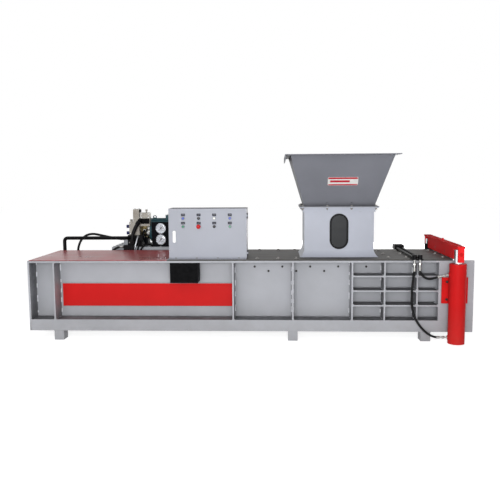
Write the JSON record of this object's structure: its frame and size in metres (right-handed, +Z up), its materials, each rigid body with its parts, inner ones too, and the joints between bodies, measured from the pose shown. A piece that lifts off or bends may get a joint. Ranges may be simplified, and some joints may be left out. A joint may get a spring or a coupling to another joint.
{
  "type": "wood briquetting machine",
  "caption": "Horizontal hydraulic press for wood shavings: ribbed steel frame, feed hopper and chute, long ram, lifting outlet gate, control cabinet and power unit.",
  "frame": {"origin": "centre of the footprint on the floor", "axes": "+X from the main cylinder's end to the outlet gate, +Z up, -Y the side with the control cabinet's door"},
  "size_m": [4.636, 1.914, 1.9203],
  "materials": {
    "frame_paint": "semi-gloss",
    "cabinet_paint": "satin",
    "chute_paint": "semi-gloss",
    "hopper_paint": "satin",
    "cover_red": "gloss",
    "cylinder_red": "gloss",
    "deck_steel": "worn",
    "ram_steel": "ground",
    "bolt_steel": "zinc plated",
    "rod_chrome": "polished",
    "pipe_black": "satin",
    "hose_rubber": "matte",
    "seal_rubber": "matte",
    "black_plastic": "matte",
    "window_glass": "tinted",
    "lock_white": "gloss",
    "button_blue": "gloss",
    "button_white": "gloss",
    "button_green": "gloss",
    "button_red": "gloss",
    "gear_grey": "matte",
    "motor_teal": "semi-gloss",
    "shaft_steel": "ground",
    "pump_iron": "varnished",
    "tank_paint": "semi-gloss",
    "valve_zinc": "phosphated",
    "knob_navy": "satin",
    "gauge_black": "satin",
    "needle_red": "matte"
  },
  "bodies": {
    "frame": {"end_plate": "frame_paint", "side_walls": "frame_paint", "floor_plate": "frame_paint", "base_channels": "frame_paint", "manifold": "pipe_black", "feet": "frame_paint", "top_flanges": "frame_paint", "side_ribs": "frame_paint", "gate_posts": "frame_paint", "guide_rails": "ram_steel", "frame_bolts": "bolt_steel", "side_covers": "cover_red", "cylinder_cover": "cover_red", "top_plates": "deck_steel", "cable_box": "black_plastic", "cabinet_body": "cabinet_paint", "control_gear": "gear_grey", "feed_chute": "chute_paint", "window_seal": "seal_rubber", "sight_window": "window_glass", "hopper": "hopper_paint", "main_barrel": "cylinder_red", "gate_barrels": "cylinder_red", "oil_tank": "tank_paint", "tank_lid": "tank_paint", "motor_housing": "motor_teal", "pump": "pump_iron", "valve_block": "valve_zinc", "gauge_board": "gauge_black", "steel_pipes": "pipe_black", "hose_fittings": "bolt_steel", "front_hose_long": "hose_rubber", "front_hose_short": "hose_rubber", "rear_hose_long": "hose_rubber", "rear_hose_short": "hose_rubber", "arch_hose": "hose_rubber", "corner_hose": "hose_rubber", "valve_hose": "hose_rubber"},
    "ram": {"main_rod": "rod_chrome", "ram_box": "ram_steel"},
    "gate": {"gate_rods": "rod_chrome", "crossbeam": "cylinder_red", "crossbeam_pins": "cylinder_red", "gate_plate": "ram_steel"},
    "door": {"cabinet_door": "cabinet_paint", "switch_collars": "bolt_steel"},
    "lock": {"door_lock": "lock_white"},
    "button_1": {"blue_button_left": "button_blue"},
    "button_2": {"white_button": "button_white"},
    "button_3": {"blue_button_right": "button_blue"},
    "button_4": {"green_button_left": "button_green"},
    "button_5": {"green_button_right": "button_green"},
    "stop": {"stop_button": "button_red"},
    "selector_1": {"upper_selector": "black_plastic"},
    "selector_2": {"lower_selector": "black_plastic"},
    "rotor": {"motor_shaft": "shaft_steel"},
    "knob_1": {"upper_knob": "knob_navy"},
    "knob_2": {"lower_knob": "knob_navy"},
    "needle_1": {"upper_needle": "needle_red"},
    "needle_2": {"lower_needle": "needle_red"}
  },
  "joints": [
    {"name": "ram_slide", "type": "slide", "parent": "frame", "child": "ram", "axis": [1, 0, 0], "range_m": [0, 1.5]},
    {"name": "gate_lift", "type": "slide", "parent": "frame", "child": "gate", "axis": [0, 0, 1], "range_m": [0, 0.58]},
    {"name": "door_swing", "type": "hinge", "parent": "frame", "child": "door", "pos_m": [0.006, -0.608, 1.1], "axis": [0, 0, 1], "range_deg": [0, 110]},
    {"name": "lock_turn", "type": "hinge", "parent": "door", "child": "lock", "pos_m": [-0.762, -0.623, 1.082], "axis": [0, 1, 0], "range_deg": [0, 90]},
    {"name": "button_1_push", "type": "slide", "parent": "door", "child": "button_1", "axis": [0, 1, 0], "range_m": [0, 0.004], "stiffness_N_per_m": 400, "springref_m": -0.002},
    {"name": "button_2_push", "type": "slide", "parent": "door", "child": "button_2", "axis": [0, 1, 0], "range_m": [0, 0.004], "stiffness_N_per_m": 400, "springref_m": -0.002},
    {"name": "button_3_push", "type": "slide", "parent": "door", "child": "button_3", "axis": [0, 1, 0], "range_m": [0, 0.004], "stiffness_N_per_m": 400, "springref_m": -0.002},
    {"name": "button_4_push", "type": "slide", "parent": "door", "child": "button_4", "axis": [0, 1, 0], "range_m": [0, 0.004], "stiffness_N_per_m": 400, "springref_m": -0.002},
    {"name": "button_5_push", "type": "slide", "parent": "door", "child": "button_5", "axis": [0, 1, 0], "range_m": [0, 0.004], "stiffness_N_per_m": 400, "springref_m": -0.002},
    {"name": "stop_push", "type": "slide", "parent": "door", "child": "stop", "axis": [0, 1, 0], "range_m": [0, 0.006], "stiffness_N_per_m": 400, "springref_m": -0.002},
    {"name": "selector_1_turn", "type": "hinge", "parent": "door", "child": "selector_1", "pos_m": [-0.5043, -0.623, 1.274], "axis": [0, 1, 0], "range_deg": [-45, 45]},
    {"name": "selector_2_turn", "type": "hinge", "parent": "door", "child": "selector_2", "pos_m": [-0.3406, -0.623, 1.188], "axis": [0, 1, 0], "range_deg": [-45, 45]},
    {"name": "motor_spin", "type": "hinge", "parent": "frame", "child": "rotor", "pos_m": [-1.002, 0.657, 1.06], "axis": [1, 0, 0], "continuous": true},
    {"name": "knob_1_turn", "type": "hinge", "parent": "frame", "child": "knob_1", "pos_m": [-1.512, 0.457, 1.115], "axis": [1, 0, 0], "range_deg": [-180, 180]},
    {"name": "knob_2_turn", "type": "hinge", "parent": "frame", "child": "knob_2", "pos_m": [-1.512, 0.457, 1.035], "axis": [1, 0, 0], "range_deg": [-180, 180]},
    {"name": "needle_1_turn", "type": "hinge", "parent": "frame", "child": "needle_1", "pos_m": [-1.095, 0.357, 1.094], "axis": [0, 1, 0], "range_deg": [0, 270], "stiffness_Nm_per_rad": 0.002},
    {"name": "needle_2_turn", "type": "hinge", "parent": "frame", "child": "needle_2", "pos_m": [-1.095, 0.357, 0.958], "axis": [0, 1, 0], "range_deg": [0, 270], "stiffness_Nm_per_rad": 0.002}
  ]
}
